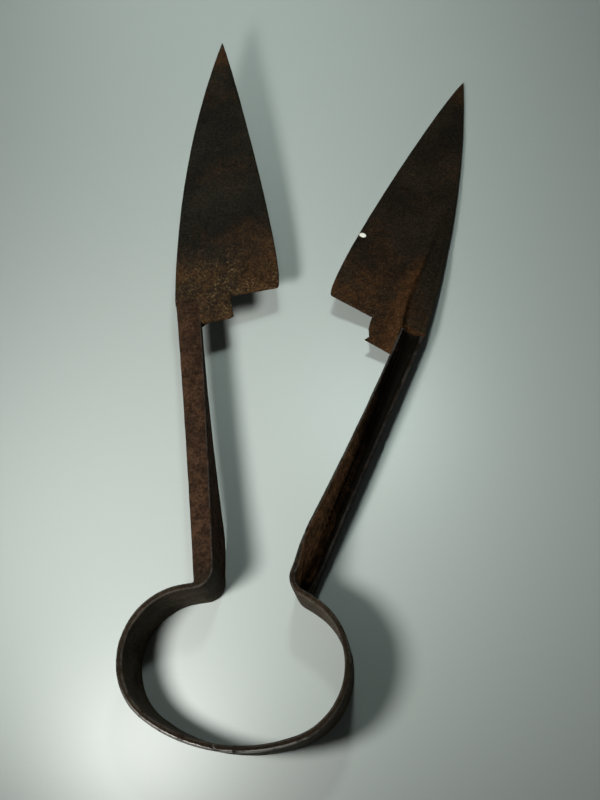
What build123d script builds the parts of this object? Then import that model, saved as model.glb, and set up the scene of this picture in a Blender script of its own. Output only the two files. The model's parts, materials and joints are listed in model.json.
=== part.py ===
from build123d import *
from math import asin, atan, atan2, cos, degrees, radians, sin, tan
import os

# Hand sheep shears, lying open: a bow spring standing on edge, two channel shanks and two blades.
# Frame: the origin is under the middle of the bar at the back of the bow, +Y runs towards the tips, +Z is up.
# Both halves are modelled as right halves. The left half is then turned over about the middle line.

# ---- driving dimensions, mm and degrees -------------------------------------------------

# the flat bar of the bow, which stands on edge
strip_width = 25.0
strip_thickness = 2.4
strip_corner = 0.5

# centreline of each half of the bow, as tangent arcs: the radius and the turn of each
# the bow has sprung a little to the left, and its left shoulder is the squarer one
bow_shift = 0.8
back_radius = 58.3
right_back_turn, left_back_turn = 26.5, 25.5
right_side_radius, right_side_turn = 24.3, 125.0
left_side_radius, left_side_turn = 22.9, 135.4
right_shoulder_radius, right_shoulder_turn = 49.6, 8.0
left_shoulder_radius, left_shoulder_turn = 64.5, 4.9
neck_radius = 6.1

# where the inner wall of each shank meets the stub of its blade, beside the middle line and along it
junction_spread = 39.7
junction_distance = 158.5

# the channel of each shank: a web, a wall on the inner side and a short flange on the outer side
channel_thickness = 2.0
neck_channel_width = 7.8
lap_channel_width = 10.0
lap_wall_height = 6.0
flare_power = 1.4
wall_lean = 5.0
wall_edge_thickness = 1.1
wall_root_radius = 2.3
neck_flange_height = 8.0
lap_flange_height = 5.6
channel_outer_radius = 2.6
channel_inner_radius = 0.9
channel_edge_radius = 0.45
lap_length = 12.0

# share of the shank, from the neck, over which its wall takes up its lean and its thin edge
lean_share = 0.16

# the section of each shank is drawn at even steps from the neck to the lap
section_steps = 12

# how the blades lie: rolled about the middle line, with a sliding gap, and spread from the middle line
blade_roll = 11.1
blade_gap = 0.3
blade_spread = 21.47

# the blade, from the corner where its stub meets the inner wall of the shank
stub_width = 12.8
stub_length = 12.1
stub_flare = 2.6
heel_step = 20.3
right_edge_length, right_edge_lean = 150.7, 5.3
left_edge_length, left_edge_lean = 149.5, 3.0
spine_bulge = 5.4

# the curve of each cutting edge: how far it is drawn out near the heel and near the tip, and where
right_heel_pull, right_tip_pull = 7.2, 4.4
left_heel_pull, left_tip_pull = 5.9, 2.3
heel_pull_share, tip_pull_share = 0.04, 0.9
right_edge_bulge, left_edge_bulge = 4.5, 3.2

spine_thickness = 3.2
edge_thickness = 0.9
bevel_width = 3.5
bevel_edge_thickness = 0.4

# the tang, a ridge that runs out from the lap to the spine and is hollowed along its middle
tang_length = 92.0
tang_end_width = 1.0
tang_hollow = 1.4

# the shoulder line and the bevelled root on the inner face of the blade
shoulder_line_width = 0.9
shoulder_line_depth = 0.4
root_bevel_length = 4.6
root_bevel_depth = 0.8

# ---- the two halves ---------------------------------------------------------------------

mid_height = strip_width / 2
roll = radians(blade_roll)
turned_over = Location((0, 0, strip_width), (0, 180, 0))
middle_plane = Plane((0, 0, mid_height), x_dir=(cos(roll), 0, -sin(roll)), z_dir=(sin(roll), 0, cos(roll)))
inner_face = middle_plane.offset(blade_gap / 2)
junction = Vector(junction_spread, junction_distance)

# ---- bow spring -------------------------------------------------------------------------


def half_loop(shift, back_turn, side_radius, side_turn, shoulder_radius, shoulder_turn):
    """Centreline of half of the bow, from its back round to the neck."""
    with BuildLine() as loop:
        back = JernArc((shift, 0), (1, 0), back_radius, back_turn)
        flank = JernArc(back @ 1, back % 1, side_radius, side_turn)
        JernArc(flank @ 1, flank % 1, shoulder_radius, shoulder_turn)
    return loop.line


def bar_section(place, heading):
    """Section of the bar on edge, across the heading."""
    with BuildSketch(Plane(place + Vector(0, 0, mid_height), x_dir=(0, 0, 1), z_dir=heading)) as section:
        RectangleRounded(strip_width, strip_thickness, strip_corner)
    return section.sketch


right_loop = half_loop(-bow_shift, right_back_turn, right_side_radius, right_side_turn,
                       right_shoulder_radius, right_shoulder_turn)
left_loop = half_loop(bow_shift, left_back_turn, left_side_radius, left_side_turn,
                      left_shoulder_radius, left_shoulder_turn)

with BuildPart() as bow_spring:
    with BuildLine():
        add(right_loop)
        add(left_loop.mirror(Plane.YZ))
    sweep(sections=bar_section(right_loop @ 1, right_loop % 1))

bow_spring.part.label = "bow_spring"

# ---- shanks -----------------------------------------------------------------------------


def middle_height(place):
    """Height of the inner face of the right blade above a place in plan."""
    return mid_height - place.X * tan(roll) + blade_gap / 2 / cos(roll)


class ShankLine:
    """Where one shank lies: its neck bend, and the foot of its inner wall from there to the junction."""

    def __init__(self, loop):
        start, heading = loop @ 1, loop % 1
        bend_centre = start + Vector(heading.Y, -heading.X) * neck_radius
        to_junction = junction - bend_centre
        tangent = atan2(to_junction.Y, to_junction.X)
        tangent -= asin((neck_radius + strip_thickness / 2) / to_junction.length)
        with BuildLine():
            self.neck = JernArc(start, heading, neck_radius, degrees(tangent - atan2(heading.Y, heading.X)))
        self.along = self.neck % 1
        self.across = Vector(self.along.Y, -self.along.X)
        self.foot = (self.neck @ 1) - self.across * strip_thickness / 2
        self.length = (junction - self.foot).length
        self.reach = self.length + lap_length

    def station(self, distance):
        """Section plane of the shank: X across the channel and outward, Y up, from the wall's foot."""
        share = min(distance / self.length, 1)
        tilt = atan(self.across.X * tan(roll)) * share
        place = self.foot + self.along * distance
        place += Vector(0, 0, middle_height(place) * share)
        return Plane(place, x_dir=self.across * cos(tilt) - Vector(0, 0, sin(tilt)), z_dir=-self.along)

    def size(self, neck_value, lap_value, distance):
        """A size that changes evenly from the neck to the lap."""
        return neck_value + (lap_value - neck_value) * distance / self.reach

    def drawn_out(self, distance):
        """Share of its lean and thinning that the wall has: none at the neck, and all of it soon after."""
        share = min(distance / (lean_share * self.length), 1)
        return share * share * (3 - 2 * share)

    def wall_height(self, distance):
        """Height of the inner wall, the full bar at the neck and flared down to the lap."""
        share = max(1 - distance / self.reach, 0)
        return lap_wall_height + (strip_width - lap_wall_height) * share ** flare_power


def channel_section(line, distance):
    """Section of the channel: web, tall inner wall and short outer flange."""
    width = line.size(neck_channel_width, lap_channel_width, distance)
    flange = line.size(neck_flange_height, lap_flange_height, distance)
    wall = line.wall_height(distance)
    drawn = line.drawn_out(distance)
    edge_place = -wall * tan(radians(wall_lean)) * drawn
    edge_end = edge_place + strip_thickness + (wall_edge_thickness - strip_thickness) * drawn
    thin = channel_thickness
    outline = [(0, 0), (width, 0), (width, flange), (width - thin, flange), (width - thin, thin)]
    outline += [(strip_thickness, thin), (edge_end, wall), (edge_place, wall)]
    edge, inside = channel_edge_radius, channel_inner_radius
    with BuildSketch(line.station(distance)) as section:
        with BuildLine():
            radii = [edge, channel_outer_radius, edge, edge, inside, wall_root_radius, edge, edge]
            FilletPolyline(*outline, close=True, radius=radii)
        make_face()
    return section.sketch


def shank(line, bow):
    """Shank of one half: the channel, the tight bend at the neck, and the end of the web beside it."""
    with BuildPart() as web_end:
        # web and flange run back from the first section to the shoulder of the bow
        with BuildSketch(line.station(0)):
            with BuildLine():
                wide, high, thin = neck_channel_width, neck_flange_height, channel_thickness
                middle = strip_thickness / 2
                outline = [(middle, 0), (wide, 0), (wide, high), (wide - thin, high)]
                outline += [(wide - thin, thin), (middle, thin)]
                edge, inside = channel_edge_radius, channel_inner_radius
                radii = [edge, channel_outer_radius, edge, edge, inside, edge]
                FilletPolyline(*outline, close=True, radius=radii)
            make_face()
        extrude(amount=neck_radius)
        # their corner follows the middle of the bend
        with BuildSketch(Plane(line.foot, x_dir=line.across, z_dir=(0, 0, 1))):
            with BuildLine():
                bend_end = (middle + neck_radius, -neck_radius)
                Polyline((middle, 0), (wide, 0), (wide, -neck_radius), bend_end)
                RadiusArc(bend_end, (middle, 0), neck_radius)
            make_face()
        extrude(amount=strip_width, mode=Mode.INTERSECT)
        add(bow, mode=Mode.SUBTRACT)
    with BuildPart() as channel:
        distances = [line.reach * step / section_steps for step in range(section_steps + 1)]
        loft(sections=[channel_section(line, distance) for distance in distances])
        with BuildLine():
            add(line.neck)
        sweep(sections=bar_section(line.neck @ 0, line.neck % 0))
        add(web_end.part)
    return channel.part


right_line = ShankLine(right_loop)
left_line = ShankLine(left_loop)

with BuildPart() as right_shank:
    add(shank(right_line, bow_spring.part))

right_shank.part.label = "right_shank"

# ---- blades -----------------------------------------------------------------------------

corner = inner_face.to_local_coords(junction + Vector(0, 0, middle_height(junction)))
blade_run = Vector(sin(radians(blade_spread)), cos(radians(blade_spread)))

notch = Vector(-stub_width - stub_flare, stub_length)
heel = notch - Vector(heel_step, 0)
right_tip = heel + Vector(-right_edge_lean, right_edge_length)
left_tip = heel + Vector(-left_edge_lean, left_edge_length)


def blade_level(height):
    """Plane of the blade, raised off its inner face: origin at the stub's corner, Y towards the tip."""
    face = inner_face.offset(height)
    across_blade = face.x_dir * blade_run.Y - face.y_dir * blade_run.X
    return Plane(face.from_local_coords((corner.X, corner.Y)), x_dir=across_blade, z_dir=face.z_dir)


def on_blade(place):
    """A place of the shank in the blade's own X and Y."""
    return blade_level(0).to_local_coords(place + Vector(0, 0, middle_height(place)))


def ground_face(tip, thickness, rise, set_out):
    """Ground face that rises towards the spine from a line set out from the chord of the cutting edge."""
    level = blade_level(thickness)
    edge_run = (tip - heel).normalized()
    run = level.x_dir * edge_run.X + level.y_dir * edge_run.Y
    inward = level.x_dir * edge_run.Y - level.y_dir * edge_run.X
    foot = level.from_local_coords((heel.X, heel.Y)) - inward * set_out
    uphill = inward + level.z_dir * rise
    return Plane(foot, x_dir=uphill, z_dir=uphill.cross(run))


def blade(line, shank_part, tip, heel_pull, tip_pull, edge_bulge):
    """Blade of one half, with its stub and its tang, closed against the end of its shank."""
    edge_outward = Vector(heel.Y - tip.Y, tip.X - heel.X).normalized()
    near_heel = heel + (tip - heel) * heel_pull_share + edge_outward * heel_pull
    near_tip = heel + (tip - heel) * tip_pull_share + edge_outward * tip_pull
    lap_corner = on_blade(junction + line.along * lap_length)
    lap_outer = on_blade(junction + line.along * lap_length + line.across * lap_channel_width)
    face_rise = (spine_thickness - edge_thickness) / (lap_outer.X - heel.X)
    bevel_end_thickness = edge_thickness + face_rise * (bevel_width - edge_bulge)
    bevel_rise = (bevel_end_thickness - bevel_edge_thickness) / bevel_width
    with BuildPart() as plate:
        with BuildSketch(blade_level(0)):
            with BuildLine():
                Polyline((0, 0), (-stub_width, 0), notch, heel)
                Bezier(heel, near_heel, near_tip, tip)
                spine = SagittaArc(tip, lap_outer, spine_bulge)
                Polyline(lap_outer, lap_corner, (0, 0))
            make_face()
        extrude(amount=spine_thickness)
        # the outer face ground down from the spine, and the bevel of the cutting edge
        split(bisect_by=ground_face(tip, edge_thickness, face_rise, 0), keep=Keep.BOTTOM)
        split(bisect_by=ground_face(tip, bevel_edge_thickness, bevel_rise, edge_bulge), keep=Keep.BOTTOM)
        # the shoulder line across the stub and the bevelled root, both on the inner face
        with BuildSketch(blade_level(0)):
            with Locations((-stub_width - stub_flare, root_bevel_length)):
                Rectangle(stub_width + stub_flare, shoulder_line_width, align=(Align.MIN, Align.MIN))
        extrude(amount=shoulder_line_depth, mode=Mode.SUBTRACT)
        root = blade_level(0)
        with BuildSketch(Plane(root.origin, x_dir=root.y_dir, z_dir=root.x_dir)):
            with BuildLine():
                Polyline((0, 0), (root_bevel_length, 0), (0, root_bevel_depth), close=True)
            make_face()
        extrude(amount=-stub_width - stub_flare, mode=Mode.SUBTRACT)
        # the tang, from the lap to where it runs out at the spine
        lap_plane = line.station(line.reach)
        half_width = lap_channel_width / 2
        lap_edge_place = -lap_wall_height * tan(radians(wall_lean))
        with BuildSketch(lap_plane) as tang_root:
            with BuildLine():
                Polyline((0, 0), (lap_channel_width, 0), (lap_channel_width, lap_flange_height),
                         (half_width, lap_flange_height - tang_hollow), (lap_edge_place, lap_wall_height),
                         close=True)
            make_face()
        run_out = blade_level(0).from_local_coords(spine @ (1 - tang_length / spine.length))
        with BuildSketch(Plane(run_out, x_dir=lap_plane.x_dir, z_dir=lap_plane.z_dir)) as tang_end:
            with BuildLine():
                wide, high = tang_end_width, edge_thickness
                Polyline((-wide, 0), (0, 0), (0, high), (-wide / 2, high), (-wide, high), close=True)
            make_face()
        loft(sections=[tang_root.sketch, tang_end.sketch], ruled=True)
        # the lap is closed against the end of the shank
        add(shank_part, mode=Mode.SUBTRACT)
    return plate.part


with BuildPart() as right_blade:
    add(blade(right_line, right_shank.part, right_tip, right_heel_pull, right_tip_pull, right_edge_bulge))

right_blade.part.label = "right_blade"

# ---- left half, turned over -------------------------------------------------------------

with BuildPart() as bow_turned_over:
    with Locations(turned_over):
        add(bow_spring.part)

turned_shank = shank(left_line, bow_turned_over.part)

with BuildPart() as left_shank:
    with Locations(turned_over):
        add(turned_shank)

left_shank.part.label = "left_shank"

with BuildPart() as left_blade:
    with Locations(turned_over):
        add(blade(left_line, turned_shank, left_tip, left_heel_pull, left_tip_pull, left_edge_bulge))

left_blade.part.label = "left_blade"

# ---- export -----------------------------------------------------------------------------

os.makedirs("parts", exist_ok=True)
export_step(bow_spring.part, "parts/bow_spring.step")
export_step(right_shank.part, "parts/right_shank.step")
export_step(left_shank.part, "parts/left_shank.step")
export_step(right_blade.part, "parts/right_blade.step")
export_step(left_blade.part, "parts/left_blade.step")
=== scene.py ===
# %% [markdown]
# # Old hand sheep shears
# The shears were forged from one bar of steel: a bow spring that stands on edge, two channel-shaped
# shanks and two pointed blades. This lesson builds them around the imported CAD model, in metres and
# in its frame, with +Y towards the tips and +Z up. Lengths read more easily in millimetres, so they
# are written that way and multiplied by `mm`.

# %% Load the frame
import bmesh
import bpy
import json
import numpy as np
from math import atan2, cos, radians, sin, tan
from mathutils import Matrix, Vector, noise
from mathutils.geometry import delaunay_2d_cdt


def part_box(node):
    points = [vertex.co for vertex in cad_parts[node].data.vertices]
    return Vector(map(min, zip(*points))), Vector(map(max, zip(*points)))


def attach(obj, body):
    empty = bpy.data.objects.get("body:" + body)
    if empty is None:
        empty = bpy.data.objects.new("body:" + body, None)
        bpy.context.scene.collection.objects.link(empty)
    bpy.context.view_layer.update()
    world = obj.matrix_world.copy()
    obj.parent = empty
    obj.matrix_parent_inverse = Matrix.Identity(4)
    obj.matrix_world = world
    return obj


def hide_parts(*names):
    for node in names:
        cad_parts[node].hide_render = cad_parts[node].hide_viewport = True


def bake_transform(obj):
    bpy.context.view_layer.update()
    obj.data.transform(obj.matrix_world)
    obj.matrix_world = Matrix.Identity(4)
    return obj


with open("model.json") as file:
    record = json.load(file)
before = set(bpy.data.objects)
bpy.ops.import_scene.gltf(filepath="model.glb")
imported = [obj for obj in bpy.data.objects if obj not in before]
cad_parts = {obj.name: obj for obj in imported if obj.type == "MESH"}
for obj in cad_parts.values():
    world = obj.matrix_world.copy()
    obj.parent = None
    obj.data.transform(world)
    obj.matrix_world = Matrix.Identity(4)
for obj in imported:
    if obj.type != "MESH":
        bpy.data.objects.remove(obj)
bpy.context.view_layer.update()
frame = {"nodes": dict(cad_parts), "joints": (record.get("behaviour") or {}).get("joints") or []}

mm = 0.001
sides = "right", "left"

# %% [markdown]
# ## Camera
# The shears are seen steeply from beyond the bow, and the view is tilted a little about its own line
# of sight. A camera could be turned by three angles or told to track an empty. Here its axes are
# worked out as vectors, because the tilt is then one more turn, and the camera simply stands back
# along its line of sight from a place on the table.

# %% Camera
camera_aim = Vector((3.8, 136.7, 0)) * mm
camera_distance = 323.7 * mm
camera_azimuth = radians(-20.32)
camera_elevation = radians(62.85)
camera_roll = radians(-13.07)
camera_lens = 34.5

sight = Vector((sin(camera_azimuth) * cos(camera_elevation), cos(camera_azimuth) * cos(camera_elevation),
                -sin(camera_elevation)))
level_right = sight.cross(Vector((0, 0, 1))).normalized()
level_up = level_right.cross(sight)
camera_right = level_right * cos(camera_roll) + level_up * sin(camera_roll)
camera_up = camera_right.cross(sight)
camera_axes = Matrix((camera_right, camera_up, -sight)).transposed()


def new_object(name, data):
    """An object in the scene that shows a mesh, a lamp or a camera."""
    thing = bpy.data.objects.new(name, data)
    bpy.context.scene.collection.objects.link(thing)
    return thing


camera = new_object("camera", bpy.data.cameras.new("camera"))
camera.data.lens = camera_lens
camera.data.clip_start = 10 * mm
camera.matrix_world = Matrix.Translation(camera_aim - sight * camera_distance) @ camera_axes.to_4x4()
bpy.context.scene.camera = camera
print("camera at", tuple(round(x, 3) for x in camera.location))

# %% [markdown]
# ## Materials written as sums
# Scale, rust and bare metal are layers, and each is mixed in by an amount that changes over the
# surface. The nodes could be joined one by one, but such a tree is hard to read afterwards. So one
# small class wraps a socket, and an expression such as `1 - worn * 0.5` adds its own Math nodes.
# Every other node comes from one method, and a finish is a material with the few nodes that
# all of them use.

# %% A socket for sums


class Value:
    """A socket of a node tree. Arithmetic on it adds Math nodes."""

    def __init__(self, nodes, socket):
        self.nodes, self.socket = nodes, socket

    def maths(self, operation, *values):
        return self.nodes.node("ShaderNodeMath", {"operation": operation}, dict(enumerate(values)))

    def __add__(self, other):
        return self.maths("ADD", self, other)

    __radd__ = __add__

    def __sub__(self, other):
        return self.maths("SUBTRACT", self, other)

    def __rsub__(self, other):
        return self.maths("SUBTRACT", other, self)

    def __mul__(self, other):
        return self.maths("MULTIPLY", self, other)

    __rmul__ = __mul__

    def smooth(self, low, high):
        """0 below low and 1 above high, with a soft step between. It falls where low is above high."""
        if low > high:
            return 1 - self.smooth(high, low)
        inputs = {"Value": self, "From Min": low, "From Max": high}
        return self.nodes.node("ShaderNodeMapRange", {"interpolation_type": "SMOOTHSTEP"}, inputs)


# %% A tree of nodes


class Nodes:
    """A node tree that starts empty and is added to node by node."""

    def __init__(self, owner):
        owner.use_nodes = True
        self.tree = owner.node_tree
        self.tree.nodes.clear()

    def node(self, kind, settings=None, inputs=None, output=0):
        """A node of one kind: its settings first, then the values or links of its sockets."""
        made = self.tree.nodes.new(kind)
        for name, value in (settings or {}).items():
            setattr(made, name, value)
        for key, value in (inputs or {}).items():
            if isinstance(value, Value):
                self.tree.links.new(value.socket, made.inputs[key])
            else:
                made.inputs[key].default_value = value
        return made if output is None else Value(self, made.outputs[output])


# %% A finish
noise_lump = 0.6      # how wide the lumps of a noise of scale 1 are, in metres


class Finish(Nodes):
    """A material and its nodes."""

    def __init__(self, name):
        self.material = bpy.data.materials.new(name)
        super().__init__(self.material)
        self.place = self.node("ShaderNodeTexCoord", output="Object")
        self.normal = self.node("ShaderNodeTexCoord", output="Normal")

    def mix(self, amount, first, second):
        """Colour between two colours."""
        first, second = (colour if isinstance(colour, Value) else (*colour, 1) for colour in (first, second))
        return self.node("ShaderNodeMix", {"data_type": "RGBA"}, {0: amount, 6: first, 7: second}, 2)

    def grain(self, size, detail=4.0, roughness=0.55, seed=0.0):
        """Noise from 0 to 1 whose lumps are about size metres wide."""
        return self.node("ShaderNodeTexNoise", {"noise_dimensions": "4D"},
                         {"Vector": self.place, "W": seed, "Scale": noise_lump / size,
                          "Detail": detail, "Roughness": roughness})

    def vector(self, operation, first, second, output=0):
        """Vector Math on a vector of the material and a fixed one."""
        return self.node("ShaderNodeVectorMath", {"operation": operation},
                         {0: first, 1: tuple(second)}, output)

    def along(self, origin, direction):
        """Distance from a place in a direction, in millimetres."""
        moved = self.vector("SUBTRACT", self.place, origin)
        return self.vector("DOT_PRODUCT", moved, Vector(direction) / mm, 1)

    def facing(self, direction):
        """1 where the surface faces a direction, and 0 where it stands square to it."""
        return self.vector("DOT_PRODUCT", self.normal, direction, 1)

    def stored(self, name):
        """A number that each vertex of the mesh carries under a name."""
        return self.node("ShaderNodeAttribute", {"attribute_name": name}, None, 2)

    def surface(self, inputs):
        """The principled surface, joined to the material's output."""
        shader = self.node("ShaderNodeBsdfPrincipled", None, inputs)
        self.node("ShaderNodeOutputMaterial", None, {"Surface": shader}, None)
        print("finish", self.material.name, "has", len(self.tree.nodes), "nodes")
        return self.material


# %% [markdown]
# ## Table
# The shears lie on a smooth, pale grey-green board. An image of a board could be wrapped on a plane,
# but nothing shows on this one except faint specks, which noise gives at any size. It is one square
# of six metres, so that its edge stays far off even in low views. A trace of metal in its finish
# lets it brighten towards the low lamp, as a waxed board does.

# %% Table
table_size = 6.0
table_colour = (0.47, 0.52, 0.495)
speck_colour = (0.36, 0.40, 0.38)
speck_strength = 0.08

table_finish = Finish("table")
specks = table_finish.grain(0.5 * mm, detail=2.0).smooth(0.35, 0.75)
speckled = table_finish.mix(specks * speck_strength, table_colour, speck_colour)
table_finish.surface({"Base Color": speckled, "Roughness": 0.42, "Metallic": 0.09})

table_mesh = bmesh.new()
bmesh.ops.create_grid(table_mesh, x_segments=1, y_segments=1, size=table_size / 2)
table = new_object("table", bpy.data.meshes.new("table"))
table_mesh.to_mesh(table.data)
table_mesh.free()
table.data.materials.append(table_finish.material)
print("table", table_size, "m square")

# %% [markdown]
# ## Lamps
# A small soft lamp hangs low over the left of the bow, so the light falls off towards the tips and
# the shadows fan out from it. The reflector around it throws a little more light the same way. A
# second lamp hangs over the stubs: each piece has a short shadow on its near side as well, and where
# both lamps are hidden the table is almost black. A wide lamp far behind the tips lifts that end of
# the table. Sun lamps would be simpler, but they are equally strong everywhere, and here the falling
# off is what shows how near the lamps are. Round area lamps fall off and give soft-edged shadows.

# %% Lamps


def lamp(name, place, aim, size, power, tint, spread=180):
    """A round lamp at a place, facing the aim. Lengths are in millimetres, and the spread is in degrees."""
    light = bpy.data.lights.new(name, "AREA")
    light.shape = "DISK"
    light.size = size * mm
    light.energy = power
    light.color = tint
    light.spread = radians(spread)
    thing = new_object(name, light)
    thing.location = Vector(place) * mm
    away = Vector(place) - Vector(aim)
    thing.rotation_euler = away.to_track_quat("Z", "Y").to_euler()
    print(name, "at", place, "mm,", power, "W")


warm_white, cool_white, faint_green = (1.0, 0.985, 0.96), (0.94, 1.0, 0.98), (0.88, 1.0, 0.965)
low_place = (-88, -16, 200)
lamp("low_lamp", low_place, aim=(10, 330, 0), size=68, power=0.42, tint=warm_white)
lamp("low_lamp_reflector", low_place, aim=(10, 430, 0), size=68, power=0.3, tint=warm_white, spread=140)
lamp("high_lamp", (20, 260, 300), aim=(0, 180, 0), size=46, power=0.25, tint=faint_green)
lamp("far_lamp", (-80, 440, 600), aim=(-120, 480, 0), size=180, power=0.26, tint=cool_white, spread=60)

# %% [markdown]
# ## Room
# The walls of the room send back a little light from all round. A world of one plain grey would do
# that too, but then the room looks as dark from the side as it does from above. So its strength
# follows the height of the direction in which one looks: a pale band low down, and nearly nothing
# above it, where it would fill the shadows in.

# %% Room
wall_colour = (0.86, 0.93, 0.90, 1)
wall_glow, ceiling_glow = 0.35, 0.03
wall_top = 0.3, 0.05      # the height of a direction at which the pale band ends, and where it is full

world = bpy.data.worlds.new("room")
bpy.context.scene.world = world
room = Nodes(world)
toward = room.node("ShaderNodeTexCoord", output="Generated")
upward = room.node("ShaderNodeSeparateXYZ", None, {0: toward}, "Z")
room_light = upward.smooth(*wall_top) * wall_glow + ceiling_glow
glow = room.node("ShaderNodeBackground", None, {"Color": wall_colour, "Strength": room_light})
room.node("ShaderNodeOutputWorld", None, {"Surface": glow}, None)
bpy.context.scene.view_settings.view_transform = "Standard"
print("room has", len(room.tree.nodes), "nodes")

# %% [markdown]
# ## Sizes that the pieces share
# The blades slide on a plane that is rolled about the middle line, and the hinge axis of each half
# stands square to that plane. The plane could be typed in as an angle. It is worked out from the
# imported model's hinge axis instead, so that the two can't disagree. The left half is the right half
# turned over about the middle line, so each piece is worked out for the right half, and
# `turned_over` carries it to the left.

# %% Shared sizes
hinge = {joint["name"]: joint for joint in frame["joints"]}
face_normal = Vector(hinge["right_closing"]["axis"])
strip_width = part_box("bow_spring")[1].z
roll = atan2(face_normal.x, face_normal.z)
face_across = Vector((cos(roll), 0, -sin(roll)))
turned_over = Matrix.Translation((0, 0, strip_width)) @ Matrix.Rotation(radians(180), 4, "Y")

blade_gap = 0.3 * mm
blade_spread = radians(21.47)
junction = Vector((39.7, 158.5, 0)) * mm      # below the place where the right blade's face starts

# where the inner wall of each shank stands at the lap, and the directions along and across the shank
lap_foot = {"right": Vector((42.64, 170.13, 0)) * mm, "left": Vector((-42.80, 170.09, 0)) * mm}
shank_along = {"right": Vector((0.2448, 0.9696, 0)), "left": Vector((-0.2580, 0.9661, 0))}
shank_across = {"right": Vector((0.9696, -0.2448, 0)), "left": Vector((-0.9661, -0.2580, 0))}


def face_height(place):
    """Height of the right blade's inner face above a place in plan."""
    return strip_width / 2 - place.x * tan(roll) + blade_gap / 2 / cos(roll)


print("strip", round(strip_width / mm, 2), "mm wide, blade faces", round(face_height(junction) / mm, 2),
      "mm above the table at the junction")

# %% [markdown]
# ## Bow and shanks
# On the real shears the bow and the shanks are one forged bar, so they are made as one skin here
# too. A profile could be swept along a curve, but the laps and necks would have to be stitched on
# by hand. The CAD surfaces have them already. They are joined and remeshed, which rounds every edge
# and inside corner as forging does, and then the skin is pushed in a little for the hammer marks.
# The roots of the blades are remeshed with the bar and cut off again at the lap, so that the end of
# the shank stays crisp.

# %% Tools for meshes
weld_distance = 0.001 * mm


def object_of(mesh, name):
    """A new object of a bmesh, at the origin of the frame, with smooth faces."""
    for face in mesh.faces:
        face.smooth = True
    thing = new_object(name, bpy.data.meshes.new(name))
    mesh.to_mesh(thing.data)
    mesh.free()
    return thing


def modified(thing, *modifiers):
    """The mesh that an object has once modifiers are applied, as a bmesh. The object is removed."""
    for kind, settings in modifiers:
        added = thing.modifiers.new(kind.lower(), kind)
        for name, value in settings.items():
            setattr(added, name, value)
    bpy.context.view_layer.update()
    mesh = bmesh.new()
    mesh.from_mesh(thing.evaluated_get(bpy.context.evaluated_depsgraph_get()).to_mesh())
    bpy.data.objects.remove(thing)
    return mesh


def kept_behind(mesh, place, normal):
    """Cuts off what lies beyond a plane and closes the cut. The rim of the cut stays sharp."""
    geometry = mesh.verts[:] + mesh.edges[:] + mesh.faces[:]
    made = bmesh.ops.bisect_plane(mesh, geom=geometry, dist=1e-7, plane_co=place, plane_no=normal,
                                  clear_outer=True)
    edges = [item for item in made["geom_cut"] if isinstance(item, bmesh.types.BMEdge)]
    caps = bmesh.ops.edgenet_fill(mesh, edges=edges)["faces"]
    for edge in edges:
        edge.smooth = False
    bmesh.ops.triangulate(mesh, faces=caps)


def cad_mesh(*names):
    """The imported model's meshes of some nodes, joined where they touch."""
    mesh = bmesh.new()
    for name in names:
        mesh.from_mesh(frame["nodes"][name].data)
    bmesh.ops.remove_doubles(mesh, verts=mesh.verts, dist=weld_distance)
    return mesh


# %% Forged skin
skin_step = 0.5 * mm
root_reach, root_inset = 5, 0.05      # of the blade's root that is left on the bar, in millimetres

bar = cad_mesh("bow_spring", "left_shank", "right_shank")
for side in sides:
    root = cad_mesh(f"{side}_blade")
    kept_behind(root, lap_foot[side] + shank_along[side] * root_reach * mm, shank_along[side])
    kept_behind(root, lap_foot[side] + shank_across[side] * root_inset * mm, -shank_across[side])
    root_shape = bpy.data.meshes.new("root")
    root.to_mesh(root_shape)
    root.free()
    bar.from_mesh(root_shape)
skin = modified(object_of(bar, "rough_bar"), ("REMESH", {"mode": "VOXEL", "voxel_size": skin_step}),
                ("SMOOTH", {"factor": 0.5, "iterations": 3}))
print("forged skin", len(skin.verts), "vertices")

# %% [markdown]
# ## The hollow of the channels
# Each shank is folded from the flat bar. The fold's inside corner is a hollow slope that a round
# hammer left, and the flange on the other side is drawn out to a thin edge. Both could be sculpted
# by hand. Here the vertices near them are moved by rule, because the rule can follow the wall, which
# grows from a low lip at the lap to the whole strip at the neck.

# %% Hollow of a channel
# Lengths are in millimetres: back runs from the lap to the neck, right from the foot of the inner
# wall to the flange, and height up from the floor.
channel_length, wall_run, width_run = 116, 114, 118      # how far back the channel, wall and width go
floor_thickness, floor_play = 2, 0.7
lap_wall, wall_growth, wall_power, wall_lean = 4, 19, 1.4, 0.0875
lap_width, width_loss = 10, 2.2
flange_width, flange_thinning, flange_top = 2.9, 0.55, 9
wall_start, wall_near, wall_far = 0.4, 0.8, 3.1          # the skin of the inner wall is above and between
slope_near, slope_far, slope_run, slope_power = 2, 6.2, 4, 1.5
slope_height = 0.5                                       # of the wall's own height


def ramp(distance, full):
    """A rise from 0 to 1 over a distance, and 1 beyond it."""
    return min(1, distance / full)


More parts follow.
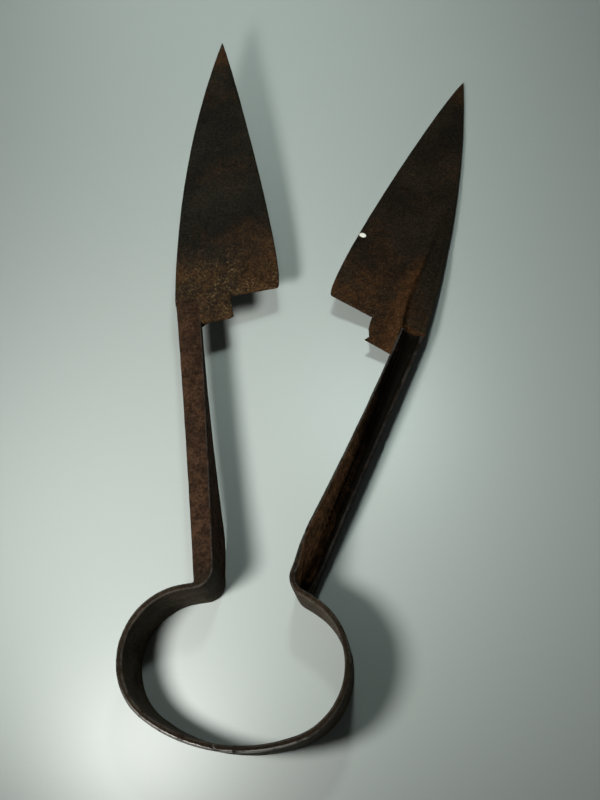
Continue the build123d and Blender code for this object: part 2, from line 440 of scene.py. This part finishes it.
def scoop(mesh, side):
    """Raises the corner between a shank's floor and inner wall to a hollow slope, and thins its flange."""
    foot, along, across = lap_foot[side], shank_along[side], shank_across[side]
    for vertex in mesh.verts:
        place = vertex.co.copy()
        if side == "left":
            place.z = strip_width - place.z
        right, back = (place - foot).dot(across) / mm, (foot - place).dot(along) / mm
        if not (0 < back < channel_length and vertex.co.x * across.x > 0):
            continue
        tilt = face_height(Vector((abs(place.x), 0, 0))) * max(0, 1 - back / wall_run) / mm
        height = place.z / mm - (floor_thickness + tilt)
        wall = lap_wall + wall_growth * (back / wall_run) ** wall_power
        right += wall_lean * max(0, height)
        width = lap_width - width_loss * back / width_run
        to_neck = channel_length - back
        if width - flange_width < right < width and wall_start <= height < flange_top:
            fade = ramp(height, 4) * ramp(to_neck, 8) * ramp(back, 4)
            vertex.co += across * flange_thinning * (width - right) * fade * mm
            continue
        if wall_near < right < wall_far and wall_start <= height < wall:
            share = 1 - height / wall
        elif slope_near < right < slope_far and abs(height) < floor_play:
            share = ((slope_far - right) / slope_run) ** slope_power
        else:
            continue
        lift = slope_height * wall * min(1, share) * ramp(to_neck, 14) * ramp(back, 8) * mm
        vertex.co.z += lift if side == "right" else -lift


for side in sides:
    scoop(skin, side)
print("channels", channel_length, "mm long, scooped to", slope_height, "of their wall")

# %% [markdown]
# ## Hammer marks
# A hammer leaves shallow dents all over, a few millimetres apart. A bump in the material would show
# them in the light but leave the outline straight. So the vertices themselves are pushed in by
# noise, never out, and the forged pieces stay inside the CAD sizes.

# %% Hammer marks
dent_depth, dent_size, dent_octaves = 0.15 * mm, 7 * mm, 4
noise_drop, noise_step = 0.9, 2.1      # how fast the finer octaves fade, and how much finer each is


def hammered(mesh):
    """Pushes the vertices in by noise, never out."""
    mesh.normal_update()
    shifts = []
    for vertex in mesh.verts:
        level = noise.fractal(vertex.co / dent_size, noise_drop, noise_step, dent_octaves)
        shifts.append(vertex.normal * (-dent_depth * (0.5 + 0.5 * max(-1, min(1, level)))))
    for vertex, shift in zip(mesh.verts, shifts):
        vertex.co += shift
    print("dents pushed in by up to", round(max(shift.length for shift in shifts) / mm, 3), "mm")


hammered(skin)

# %% [markdown]
# ## Worn and shaded edges
# Hands wear an edge before they wear a face, and the blades are painted with dark shade along their edges, so
# the finish has to know where the edges are. The Geometry node's Pointiness could tell, but it can't be
# evened out. Here each vertex stores how sharply it stands out, evened out over its neighbours. A second
# stored value tells the outer half of the bow's upper edge from the inner half, because only the outer one is
# rubbed bright.

# %% Worn and shaded edges
evening_rounds, normal_rounds = 3, 4
edge_bend = 0.35      # how sharply a vertex stands out on a real edge
outer_direction = (-0.6, -0.8, 0)


def bend_at(vertex):
    """How far a vertex stands out from its neighbours, over the square of their distance."""
    around = [edge.other_vert(vertex).co for edge in vertex.link_edges]
    middle = sum(around, Vector()) / len(around)
    reach = sum((place - vertex.co).length_squared for place in around) / len(around)
    return (vertex.co - middle).dot(vertex.normal) / reach * mm


def sharpness(mesh):
    """How sharply each vertex stands out, from 0 on a flat place to 1 on an edge."""
    near = [[edge.other_vert(vertex).index for edge in vertex.link_edges] for vertex in mesh.verts]
    bend = [bend_at(vertex) for vertex in mesh.verts]
    for _ in range(evening_rounds):
        bend = [0.5 * bend[i] + 0.5 * sum(bend[j] for j in around) / len(around)
                for i, around in enumerate(near)]
    return np.clip(np.array(bend) / edge_bend, 0, 1)


def evened_normals(mesh):
    """The normal of each vertex, evened out over its neighbours."""
    normals = np.array([vertex.normal for vertex in mesh.verts])
    ends = np.array([[vertex.index for vertex in edge.verts] for edge in mesh.edges])
    for _ in range(normal_rounds):
        total = normals.copy()
        np.add.at(total, ends[:, 0], normals[ends[:, 1]])
        np.add.at(total, ends[:, 1], normals[ends[:, 0]])
        normals = total / np.linalg.norm(total, axis=1)[:, None]
    return normals


def mark_edges(piece):
    """Stores on each vertex how sharply it stands out, for wear and for painted edge shade, and how far it
    faces the outer side of the bow.
    """
    mesh = bmesh.new()
    mesh.from_mesh(piece.data)
    mesh.normal_update()
    wear_and_edge_shade, outer_side = sharpness(mesh), evened_normals(mesh) @ outer_direction
    mesh.free()
    for name, values in (("wear_and_edge_shade", wear_and_edge_shade), ("outer_side", outer_side)):
        piece.data.attributes.new(name, "FLOAT", "POINT").data.foreach_set("value", values.astype(np.float32))
    print(piece.name, len(piece.data.vertices), "vertices, worn mean", round(float(wear_and_edge_shade.mean()), 3))


# %% [markdown]
# ## The two halves of the bar
# The bow is a spring: it bends when the shanks are squeezed, and its back stays where it is. It could be left
# whole and stiff, but then the shanks would tear away from it. So the skin is cut at the back of the bow, and
# half of the bow and its shank stay one piece.

# %% Halves of the bar
# the place at the back of the bow where the skin is cut into two halves
bow_back = Vector((-0.8, 0, 12.5)) * mm


def half_of(mesh, side):
    """The part of the mesh on one side of the back of the bow, closed where it is cut."""
    half = mesh.copy()
    kept_behind(half, bow_back, Vector((-1 if side == "right" else 1, 0, 0)))
    kept_behind(half, lap_foot[side], shank_along[side])
    return half


bars = {}
for side in sides:
    piece = object_of(half_of(skin, side), f"bow_and_shank_{side}")
    mark_edges(piece)
    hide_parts("bow_spring", f"{side}_shank")
    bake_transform(piece)
    bars[side] = piece
skin.free()

# %% [markdown]
# ## Blade outline
# Each blade was drawn out of the end of its shank and ground to a long point, with a square heel
# and a stepped stub beside it. Its outline could be modelled face by face. It is written down as a
# line instead, in millimetres across and along the blade's face, because the cutting edge and the
# spine are then smooth curves of any fineness and the corners stay where they are put.

# %% Frame of a blade's face
blade_step = 0.8      # mm between the points of a blade
face_along = face_across * sin(blade_spread) + Vector((0, cos(blade_spread), 0))
blade_across = face_across * cos(blade_spread) - Vector((0, sin(blade_spread), 0))
blade_origin = Vector((junction.x, junction.y, face_height(junction)))
print("blade face starts at", tuple(round(x / mm, 1) for x in blade_origin), "mm")

# %% Corners of the blades
# in millimetres across and along the face
heel = np.array((-35.7, 12.1))
tips = {"right": heel + (-5.3, 150.7), "left": heel + (-3.0, 149.5)}
pull_places = 0.04, 0.9      # the shares of the way to the tip at which the cutting edge is pulled out
edge_pulls = {"right": (7.2, 4.4), "left": (5.9, 2.3)}
edge_bulge = {"right": 4.5, "left": 3.2}      # how far it ends up beyond the line from heel to tip
spine_bulge = 5.4
heel_flat, corner_flat = (0.2, 0), (0.35, -0.1)
lap_corner = {"right": (-1.5, 11.9), "left": (-1.3, 11.9)}
lap_outer = {"right": (8.6, 13.3), "left": (8.8, 13.1)}
stub_side = {"right": [(-12.9, 0.2), (-11.8, 2.6), (-13.9, 6.0), (-15.0, 9.5), (-15.5, 12.3)],
             "left": [(-12.6, 1.2), (-14.2, 1.9), (-14.4, 8.4), (-15.4, 12.1)]}
stub_corner = {"right": (0.35, 0.0), "left": (0.35, 0.9)}
for side in sides:
    print(side, "blade", round(float(np.hypot(*(tips[side] - heel))), 1), "mm from heel to tip")

# %% Curves of the blades
spine_points, edge_points = 40, 60


def left_of(run):
    """The direction to the left of a run, one long."""
    return np.array((-run[1], run[0])) / np.hypot(*run)


def bowed(start, end, bulge):
    """Points from start to end on a shallow curve that bulges to the left."""
    start, end = np.array(start), np.array(end)
    share = np.linspace(0, 1, spine_points)[:, None]
    run = end - start
    return start + share * run + 4 * bulge * share * (1 - share) * left_of(run)


def cutting_edge(side):
    """Points from the heel to the tip. The edge leaves the heel steeply and is nearly straight further on."""
    run, tip = tips[side] - heel, tips[side]
    near_heel, near_tip = (heel + run * share + left_of(run) * pull
                           for share, pull in zip(pull_places, edge_pulls[side]))
    share = np.linspace(0, 1, edge_points)[:, None]
    rest = 1 - share
    return (rest ** 3 * heel + 3 * rest ** 2 * share * near_heel + 3 * rest * share ** 2 * near_tip
            + share ** 3 * tip)


def resampled(line, step):
    """Points at even steps along each run of a line that is longer than a step."""
    points = []
    for start, end in zip(line, line[1:]):
        count = max(1, round(float(np.hypot(*(end - start))) / step))
        points += [start + (end - start) * i / count for i in range(count)]
    return np.array(points)


def blade_outline(side):
    """The closed outline of a blade, and the line of its spine from tip to lap."""
    corner = np.array(lap_corner[side])
    spine = bowed(tips[side], lap_outer[side], spine_bulge)
    outline = np.vstack([[stub_corner[side]], stub_side[side], [heel + heel_flat],
                         cutting_edge(side)[1:], spine[1:], [corner], [corner + corner_flat]])
    return resampled(np.vstack([outline, outline[:1]]), blade_step), spine


for side in sides:
    print(side, "outline has", len(blade_outline(side)[0]), "points")

# %% [markdown]
# ## Blade faces
# A blade is a thin plate, ground down from the spine to the cutting edge. On its outer face the
# channel of the shank runs on as a hollow tang between a crest and a rim, and dies out in the plate.
# Loops of faces could follow each ridge, but they would fight with the slanting outline. So each
# face is a height over the flat outline, given by a formula, and the relief goes right up to the rim.

# %% Measuring on the face
lump_size, lump_octaves = 2.2, 3


def distance_to(points, line, closed):
    """Distance of each point from a line."""
    ends = np.roll(line, -1, axis=0) if closed else line[1:]
    starts = line if closed else line[:-1]
    best = np.full(len(points), 1e9)
    for a, b in zip(starts, ends):
        run = b - a
        share = np.clip(((points - a) @ run) / max(run @ run, 1e-12), 0, 1)
        best = np.minimum(best, np.hypot(*(points - a - share[:, None] * run).T))
    return best


def inside(points, line):
    """Whether each point is inside a closed line."""
    found = np.zeros(len(points), bool)
    for a, b in zip(line, np.roll(line, -1, axis=0)):
        crosses = (a[1] > points[:, 1]) != (b[1] > points[:, 1])
        with np.errstate(divide="ignore", invalid="ignore"):
            at = a[0] + (points[:, 1] - a[1]) * (b[0] - a[0]) / (b[1] - a[1])
        found ^= crosses & (points[:, 0] < at)
    return found


def smooth(low, high, value):
    """0 below low and 1 above high, with a soft step between. It falls where low is above high."""
    share = np.clip((value - low) / (high - low), 0, 1)
    return share * share * (3 - 2 * share)


def lumps(points, seed):
    """Noise from -1 to 1 over points of the blade, in lumps of about two millimetres."""
    places = (Vector((u / lump_size, v / lump_size, seed)) for u, v in points)
    return np.array([noise.fractal(place, noise_drop, noise_step, lump_octaves) for place in places])


# %% Outer face
# the plate: its thickness at the cutting edge and on the chord from heel to tip, and how it grows
edge_thickness, chord_thickness, thickening, bevel_width = 0.4, 0.9, 0.052, 3.5
# the tang: the line of its crest, and heights and depths that follow places along the blade
crest_line = np.array([(0.9, -1.1), (-1.6, 9.8), (-4.3, 18.5), (-6.7, 28.7), (-7.9, 37.8), (-8.7, 45.7),
                       (-10.4, 58.1), (-13.0, 78.0), (-16.0, 100.0)])
crest_rise = (0, 12, 30, 46, 62, 80, 98), (3.2, 3.3, 2.5, 1.8, 1.0, 0.35, 0)
hollow_depth = (12, 64, 90), (2.2, 0.8, 0)
rim_height = (12, 46, 60), (5.5, 3.9, 3.0)
crest_flank, hollow_flank = 4.2, 2.0      # how wide the slopes to the left and right of the crest are
rim_width, rim_slope, rim_fade = 1.1, (0.4, -0.2), (66, 50)      # the rim dies out along the blade
groove_depth, groove_at, groove_half, groove_fade = 0.45, 0.55, 0.5, (62, 52)
# a pale fleck that stands a little proud on the edge of the right blade
pale_fleck, fleck_height, fleck_slope = np.array((-39.2, 48.2)), 0.3, (1.3, 0.9)
outer_roughness = 0.04


def outer_height(points, side, spine, seed):
    """Height of the outer face above the inner face."""
    u, v = points.T
    from_chord = (points - heel) @ -left_of(tips[side] - heel)
    step = chord_thickness - edge_thickness
    bevel_rise = (step + thickening * (bevel_width - edge_bulge[side])) / bevel_width
    plate = np.minimum(chord_thickness + thickening * from_chord,
                       edge_thickness + bevel_rise * (from_chord + edge_bulge[side]))
    right_of_crest = u - np.interp(v, crest_line[:, 1], crest_line[:, 0])
    height = plate + np.interp(v, *crest_rise) * smooth(-crest_flank, 0, right_of_crest)
    height -= np.interp(v, *hollow_depth) * smooth(0, hollow_flank, right_of_crest)
    in_from_spine = distance_to(points, spine, False)
    rim_inner, rim_outer = (rim_width + slope for slope in rim_slope)
    rim = smooth(rim_inner, rim_outer, in_from_spine) * smooth(*rim_fade, v)
    height += (np.interp(v, *rim_height) - height) * rim
    beside_rim = smooth(groove_half, 0, np.abs(in_from_spine - rim_width - groove_at))
    height -= groove_depth * beside_rim * smooth(*groove_fade, v)
    if side == "right":
        height += fleck_height * smooth(*fleck_slope, np.hypot(*(points - pale_fleck).T))
    return height + outer_roughness * lumps(points, seed)


print("tang rim", max(rim_height[1]), "mm high at the lap, plate", edge_thickness, "mm thick at the edge")

# %% Inner face
root_bevel, root_bevel_width = 0.8, 4.6
shoulder_step, shoulder_at, shoulder_slope, shoulder_end = 0.5, 5.05, (0.7, 0.25), (1.5, 0.5)
inner_roughness = 0.02


def inner_height(points, seed):
    """Height of the inner face, with the shoulder line across the stub and the bevelled root."""
    u, v = points.T
    height = root_bevel * smooth(root_bevel_width, 0, v)
    height += shoulder_step * smooth(*shoulder_slope, np.abs(v - shoulder_at)) * smooth(*shoulder_end, u)
    return height + inner_roughness * lumps(points, seed)


# %% [markdown]
# ## Blade meshes
# The two faces of a blade meet in a thin, rounded rim. Solidify and Bevel modifiers could make it,
# but Solidify makes a plate of one thickness. Here a flat sheet of triangles is laid inside the
# outline, with two rings of points close inside it, and lifted twice, once to each face. The rim is
# lowered along a quarter circle, and the two sheets are joined around it.

# %% Flat sheet of triangles
ring_insets, ring_clearance = (0.12, 0.38), 0.9
row_clearance = 0.55 * blade_step + 0.3
inside_only, merge_distance = 1, 1e-5      # how the triangulation treats the outside and twin points


def rings_inside(outline):
    """Rings of points close inside the outline, for its rounded rim."""
    rings = []
    along = np.roll(outline, -1, axis=0) - np.roll(outline, 1, axis=0)
    for inset in ring_insets:
        ring = outline + np.stack((along[:, 1], -along[:, 0]), -1) / np.hypot(*along.T)[:, None] * inset
        clear = inside(ring, outline) & (distance_to(ring, outline, True) > ring_clearance * inset)
        rings.append(ring[clear])
    return rings


def rows_inside(outline):
    """Staggered rows of points that fill the outline and keep clear of its rings."""
    low, high = outline.min(axis=0), outline.max(axis=0)
    grid = np.stack(np.meshgrid(np.arange(low[0], high[0], blade_step),
                                np.arange(low[1], high[1], blade_step)), -1).reshape(-1, 2)
    grid[:, 0] += (np.round((grid[:, 1] - low[1]) / blade_step) % 2) * blade_step / 2
    grid = grid[inside(grid, outline)]
    return grid[distance_to(grid, outline, True) > row_clearance]


def sheet_in(outline):
    """Places and triangles of a flat sheet inside the outline."""
    places = np.vstack([outline, *rings_inside(outline), rows_inside(outline)])
    ring_edges = [(i, (i + 1) % len(outline)) for i in range(len(outline))]
    found = delaunay_2d_cdt([Vector(place) for place in places], ring_edges, [], inside_only, merge_distance)
    return np.array([tuple(place) for place in found[0]]), found[2]


# %% Blade meshes
rim_radius, rim_share = 0.38, 0.45      # in millimetres, and at most this share of the thickness
lap_reach, clear_of_rim = 0.45, 1.0
inner_seed = 30


def rim_drop(places, side, outline, thickness):
    """How far the rim is rounded down at each place. It stays square where the blade meets the lap."""
    lap = np.array((lap_outer[side], lap_corner[side]))
    to_outline = distance_to(places, outline, True)
    to_outline = np.where(distance_to(places, lap, False) < lap_reach, clear_of_rim, to_outline)
    rim = np.minimum(rim_radius, rim_share * thickness)
    return rim * (1 - np.sqrt(1 - np.clip(1 - to_outline / rim, 0, 1) ** 2))


def blade_of(side, seed):
    """Mesh of one blade."""
    outline, spine = blade_outline(side)
    places, triangles = sheet_in(outline)
    print(side, "sheet has", len(places), "places and", len(triangles), "triangles")
    top, bottom = outer_height(places, side, spine, seed), inner_height(places, seed + inner_seed)
    drop = rim_drop(places, side, outline, top - bottom)
    mesh = bmesh.new()
    outer, inner = ([mesh.verts.new(blade_origin + (blade_across * u + face_along * v + face_normal * w) * mm)
                     for (u, v), w in zip(places, heights)] for heights in (top - drop, bottom + drop))
    for a, b, c in triangles:
        mesh.faces.new((outer[a], outer[b], outer[c]))
        mesh.faces.new((inner[c], inner[b], inner[a]))
    bmesh.ops.bridge_loops(mesh, edges=[edge for edge in mesh.edges if len(edge.link_faces) == 1])
    if side == "left":
        mesh.transform(turned_over)
    bmesh.ops.recalc_face_normals(mesh, faces=mesh.faces)
    hammered(mesh)
    return mesh


blades = {}
for side, seed in (("right", 3.0), ("left", 57.0)):
    piece = object_of(blade_of(side, seed), f"blade_{side}")
    mark_edges(piece)
    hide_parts(f"{side}_blade")
    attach(piece, f"{side}_half")
    blades[side] = piece

# %% [markdown]
# ## Rusted steel
# Old black forge scale covers everything, and rust has come through it: red-brown and granular on the shanks,
# ochre in spots on the blades. Handling has rubbed the bow's edge back to grey metal. The edges of the
# blades, the floor of the right channel and the end of its tang are painted dark as shade. The wall of that
# channel is painted brighter than rust, as painted light. Images of rust could be wrapped around each piece,
# but they blur close up and their seams show. So one finish is built up in layers of noise, from clouds of 13
# mm down to grains of 0.6 mm, and each piece says how much of each layer it has and where.

# %% Colours of the layers
# pairs run from one end of a layer's own mottling to the other
brown_scale = (0.0085, 0.006, 0.0037), (0.015, 0.0105, 0.0065)
# the left blade's grey is partly a painted sheen, in place of the reflection that the faint gloss leaves out
grey_scale_and_sheen = (0.0100, 0.0092, 0.0068), (0.0165, 0.0142, 0.0098)
warm_scale = (0.0115, 0.0093, 0.0064), (0.0190, 0.0148, 0.0096)
red_rust = (0.045, 0.024, 0.0135), (0.022, 0.0125, 0.0078)
# rust of the right channel's wall, painted far brighter than rust is: rust and painted light on a face the
# lamps leave in shade
wall_rust_and_light = (0.24, 0.11, 0.05), (0.10, 0.052, 0.026)
ochre_rust = (0.055, 0.0272, 0.0117), (0.030, 0.0160, 0.0080)
orange_rust = (0.058, 0.0265, 0.0108), (0.034, 0.0165, 0.0075)
olive_patina = (0.056, 0.042, 0.026)
ochre_speck = (0.13, 0.085, 0.038)
bare_metal = (0.62, 0.60, 0.56)
# painted shade: the colour that darkens the sharp edges of the blades
edge_shade_colour = (0.004, 0.0035, 0.003)
# painted shade: near black, for places that the lamps can't reach
painted_shade_colour = (0.003, 0.0027, 0.0022)
fleck_cream = (0.95, 0.93, 0.82)

# %% Layers
patch_share, grain_share = 0.65, 0.35      # of the wide and the fine noise, in where the rust lies
pit_depth = 0.3 * mm


def scale_and_rust(finish, fine, scale_colours, rust_colours, rust, patina):
    """The colour of forge scale that rust has come through, and the share of rust in it."""
    scale = finish.mix(finish.grain(13 * mm, seed=1.3).smooth(0.35, 0.65), *scale_colours)
    if patina:
        scale = finish.mix(patina(finish), scale, olive_patina)
    patchy = finish.grain(9 * mm, detail=5.0, roughness=0.62, seed=4.1)
    share = (patchy * patch_share + fine * grain_share + rust(finish)).smooth(0.40, 0.75)
    mottled = finish.grain(2.2 * mm, roughness=0.6, seed=2.9).smooth(0.38, 0.62)
    return finish.mix(share, scale, finish.mix(mottled, *rust_colours)), share


def specked(finish, colour, specks):
    """Strews ochre specks over a colour, in clusters."""
    spots = (finish.grain(0.62 * mm, roughness=0.62, seed=9.4) + specks(finish)).smooth(0.62, 0.76)
    clusters = finish.grain(6 * mm, detail=3.0, roughness=0.6, seed=2.2).smooth(0.38, 0.62) * 0.6 + 0.15
    return finish.mix(spots * clusters, colour, ochre_speck)


def toned(finish, colour):
    """Makes a colour paler and darker from grain to grain."""
    tone = finish.grain(0.6 * mm, detail=3.0, roughness=0.6, seed=5.2).smooth(0.3, 0.7) * 0.9 + 0.55
    return finish.node("ShaderNodeVectorMath", {"operation": "SCALE"}, {0: colour, "Scale": tone})


def pitted(finish, fine):
    """A bumped normal: pits of a millimetre with finer grain between them."""
    pits = finish.grain(1.1 * mm, roughness=0.62, seed=6.6)
    return finish.node("ShaderNodeBump", None,
                       {"Strength": 0.85, "Distance": pit_depth, "Height": pits * 0.8 + fine * 0.5})


# %% The whole finish
scale_roughness, rust_roughness, polish = 0.6, 0.2, 0.32      # rust adds roughness, rubbing takes it off
edge_shade_strength, steel_gloss = 0.7, 0.02


def rusted(name, scale_colours, rust_colours, rust, specks=None, bare=None, fleck=None, patina=None,
           painted_shade=None):
    """Steel with forge scale, rust over a share of it, ochre specks, edges rubbed bare or painted with dark
    shade, and painted near-black shade where a piece asks for it.
    """
    finish = Finish(name)
    fine = finish.grain(0.9 * mm, detail=3.0, roughness=0.6, seed=7.7)
    colour, rust_share = scale_and_rust(finish, fine, scale_colours, rust_colours, rust, patina)
    if specks:
        colour = specked(finish, colour, specks)
    colour = toned(finish, colour)
    roughness, metal, wear_and_edge_shade = rust_share * rust_roughness + scale_roughness, 0.0, finish.stored("wear_and_edge_shade")
    if bare:
        rubbed = finish.grain(2.4 * mm, detail=5.0, roughness=0.65, seed=3.3).smooth(0.36, 0.52)
        metal = bare(finish, wear_and_edge_shade) * rubbed
        colour = finish.mix(metal, colour, bare_metal)
        roughness = roughness - metal * polish
    else:
        # painted shade: where there is no bare metal, the sharp edges are darkened towards near black
        colour = finish.mix(wear_and_edge_shade.smooth(0.3, 0.9) * edge_shade_strength, colour, edge_shade_colour)
    if painted_shade:
        # painted shade: near black mixed in where a piece asks for it
        colour = finish.mix(painted_shade(finish), colour, painted_shade_colour)
    if fleck:
        colour = finish.mix(fleck(finish), colour, fleck_cream)
    return finish.surface({"Base Color": colour, "Roughness": roughness, "Metallic": metal,
                           "Specular IOR Level": steel_gloss, "Normal": pitted(finish, fine)})


# %% [markdown]
# ## Rust of the shanks
# The left shank is rusted all along. The right one has its rust inside the channel, mostly near the neck, and
# that rust is painted brighter than rust is, as painted light on the wall. The floor beside it is painted
# near black as shade. Such places could be painted on each piece as vertex colours. Here they are measured in
# the shader, along and across the shank, and soft steps between distances make the masks, so they keep their
# place whatever the mesh is like.

# %% Measures on the bar


def beyond_lap(finish, side):
    """Distance along a shank, 0 at the lap and negative towards the neck."""
    return finish.along(lap_foot[side], shank_along[side])


def from_wall(finish, side):
    """Distance across a shank, from the foot of its inner wall to the flange."""
    return finish.along(lap_foot[side], shank_across[side])


def above_table(finish):
    """Height above the table."""
    return finish.along((0, 0, 0), (0, 0, 1))


def up_the_bow(finish):
    """Distance from the back of the bow towards the tips."""
    return finish.along((0, 0, 0), (0, 1, 0))


# %% Rust of the shanks
# places are in millimetres beyond the lap, and so negative on the shank
shank_start, lean_start, neck_fade = (-122, -106), (-117, -97), (-10, -100)
wall_inner, wall_outer, wall_drift = (1.5, 2.2), (6.5, 4.0), -0.0033
left_rust, left_clean = 0.3, 0.1
neck_rust, lap_rust, right_clean = 0.36, 0.06, 0.12


def bar_rust(side):
    """Rust all along the left shank. The right one has it on the wall inside its channel, most of it near the
    neck, in a colour painted bright as painted light.
    """
    def share(finish):
        from_lap = beyond_lap(finish, side)
        on_shank = from_lap.smooth(*shank_start)
        if side == "left":
            return on_shank * left_rust - left_clean
        into_channel = from_wall(finish, side) + from_lap * wall_drift
        lean = above_table(finish) * wall_lean * from_lap.smooth(*lean_start)
        # the wall's rust is painted light as well as rust
        on_wall = (into_channel + lean).smooth(*wall_inner) * into_channel.smooth(*wall_outer)
        on_wall = on_wall * finish.facing(shank_across[side]).smooth(0.5, 0.9)
        return on_shank * on_wall * (from_lap.smooth(*neck_fade) * neck_rust + lap_rust) - right_clean
    return share


# %% Painted shade on the right channel's floor and under the tang's lip
floor_inner, floor_outer, floor_fade, floor_shade_strength = (1.8, 3.4), (10.2, 8.2), (-118, -45), 0.85
lip_shade, stub_clearance, lip_shade_strength = (0.45, 0.1), (0.2, 0.8), 0.9


def channel_floor_shade(finish):
    """Painted shade on the floor of the right channel, near black where its wall hides it from the lamps."""
    into_channel = from_wall(finish, "right")
    on_floor = into_channel.smooth(*floor_inner) * into_channel.smooth(*floor_outer)
    return on_floor * beyond_lap(finish, "right").smooth(*floor_fade) * floor_shade_strength


def tang_end_shade(finish):
    """Painted shade at the end of the tang, under its lip."""
    beside_stub = from_wall(finish, "right").smooth(*stub_clearance)
    return beyond_lap(finish, "right").smooth(*lip_shade) * beside_stub * lip_shade_strength


# %% [markdown]
# ## Patina and bright edge of the bow
# Where the bow lies in the palm its scale has turned olive brown, and the outer side of its upper
# edge is rubbed to bare metal in fine scratches. That line could be a strip of faces with its own
# material, but its ends would be hard. So it is a mask: the height picks the edge, the stored
# direction picks its outer side, and noise stretched along the edge breaks it into scratches.

# %% Patina and bare metal of the bow
edge_zone, back_zone = (23.4, 24.0), (16, -4)      # how high the bright line lies, and how near the back
patina_end, shoulder_zone = (60, 48), (10, 50)     # along the bow, where the shank's rust takes over from it
back_patina, shoulder_patina, upward_shade = 0.6, 0.35, -0.8
edge_shine = 0.06


def bow_patina(finish):
    """The olive-brown patina of the bow, palest at its shoulders. It is taken off the upward faces as painted
    shade, because the lamps light them more.
    """
    along_bow = up_the_bow(finish)
    amount = along_bow.smooth(*shoulder_zone) * shoulder_patina + back_patina
    # painted shade: the upward faces keep their dark scale
    amount = amount * (finish.facing((0, 0, 1)).smooth(0.4, 0.9) * upward_shade + 1)
    cloudy = finish.grain(6 * mm, roughness=0.6, seed=8.2).smooth(0.2, 0.6)
    return along_bow.smooth(*patina_end) * amount * cloudy


def bar_bare(finish, wear_and_edge_shade):
    """Bare metal: a scratched line on the outer side of the bow's upper edge, and a little of every edge."""
    along_bow = up_the_bow(finish)
    outer_side = finish.stored("outer_side")
    # fine scratches that run along the edge
    across_edge = finish.node("ShaderNodeCombineXYZ", None, {0: outer_side * 14, 1: along_bow * 0.05, 2: 0.5})
    scratches = finish.node("ShaderNodeTexNoise", None, {"Vector": across_edge, "Scale": 1.0, "Detail": 3.0})
    silver = outer_side.smooth(0.12, 0.3) * (scratches.smooth(0.4, 0.6) * 0.75 + 0.25)
    on_edge = above_table(finish).smooth(*edge_zone) * along_bow.smooth(*back_zone)
    return on_edge * silver + wear_and_edge_shade.smooth(0.3, 0.8) * edge_shine


for side, scale, rust, painted_shade in (("left", brown_scale, red_rust, None),
                                 ("right", brown_scale, wall_rust_and_light, channel_floor_shade)):
    steel = rusted(f"bar_steel_{side}", scale, rust, bar_rust(side), bare=bar_bare, patina=bow_patina,
                   painted_shade=painted_shade)
    bars[side].data.materials.append(steel)

# %% [markdown]
# ## Rust of the blades
# The blades are greyer than the bar. Their rust is ochre and orange, thickest beside the heel and
# the stub, along the crest of the tang and at the tip, and ochre specks are strewn over it. One
# material for both would be shorter, but the right blade shows its tang, and the left one, turned
# over, its flat inner face. So the masks are functions of the side, and each blade's own frame tells
# them where they are.

# %% Measures on a blade


def blade_frame(side):
    """Origin and directions of a blade's face: across it, and along it towards the tip."""
    if side == "right":
        return blade_origin, blade_across, face_along
    turn = turned_over.to_3x3()
    return turned_over @ blade_origin, turn @ blade_across, turn @ face_along


def across_blade(finish, side):
    """Distance across a blade's face, towards the spine."""
    origin, across, _ = blade_frame(side)
    return finish.along(origin, across)


def along_blade(finish, side):
    """Distance along a blade's face, towards the tip."""
    origin, _, run = blade_frame(side)
    return finish.along(origin, run)


# %% Rust and specks of the blades
heel_end, tip_start, tang_fade = (62, 18), (141, 150), (66, 40)      # millimetres along the blade
heel_rust, tip_rust, blade_clean = 0.2, 0.2, 0.1
edge_side, edge_rust = (-12, -30), 0.03            # millimetres across the left blade, to its edge
crest_slant, crest_start, crest_rust = 0.155, 0.9, 0.14
crest_zone, tang_zone = (-8, -1), (-0.2, 0.6)      # millimetres beyond the crest
tang_root, tang_root_rust, tang_clean = (15.5, 13.5), 0.3, 0.26
speck_zone, most_specks, fewest_specks = (58, 12), {"left": 0.15, "right": 0.07}, 0.02
fleck_stretch, fleck_reach = 0.55, (1.7, 1.1)


def blade_rust(side):
    """Rust that is thickest beside the heel and the stub, along the crest of the tang, and at the tip."""
    def share(finish):
        u, v = across_blade(finish, side), along_blade(finish, side)
        amount = v.smooth(*heel_end) * heel_rust + v.smooth(*tip_start) * tip_rust - blade_clean
        if side == "left":
            return amount + u.smooth(*edge_side) * edge_rust
        beyond_crest = u + v * crest_slant + crest_start
        along_crest = v.smooth(*tang_fade) * beyond_crest.smooth(*crest_zone) * crest_rust
        tang_face = v.smooth(*tang_fade) * beyond_crest.smooth(*tang_zone)
        return amount + along_crest + tang_face * (v.smooth(*tang_root) * tang_root_rust - tang_clean)
    return share


def blade_specks(side):
    """Ochre specks, densest beside the heel of the left blade."""
    return lambda finish: along_blade(finish, side).smooth(*speck_zone) * most_specks[side] - fewest_specks


def pale_spot(finish):
    """The pale fleck on the cutting edge of the right blade, a little wider than it is long."""
    u = across_blade(finish, "right") - float(pale_fleck[0])
    v = along_blade(finish, "right") - float(pale_fleck[1])
    return (u * u * fleck_stretch + v * v).smooth(*fleck_reach)


for side, scale, rust, fleck, painted_shade in (("left", grey_scale_and_sheen, ochre_rust, None, None),
                                        ("right", warm_scale, orange_rust, pale_spot, tang_end_shade)):
    steel = rusted(f"blade_steel_{side}", scale, rust, blade_rust(side), blade_specks(side), fleck=fleck,
                   painted_shade=painted_shade)
    blades[side].data.materials.append(steel)
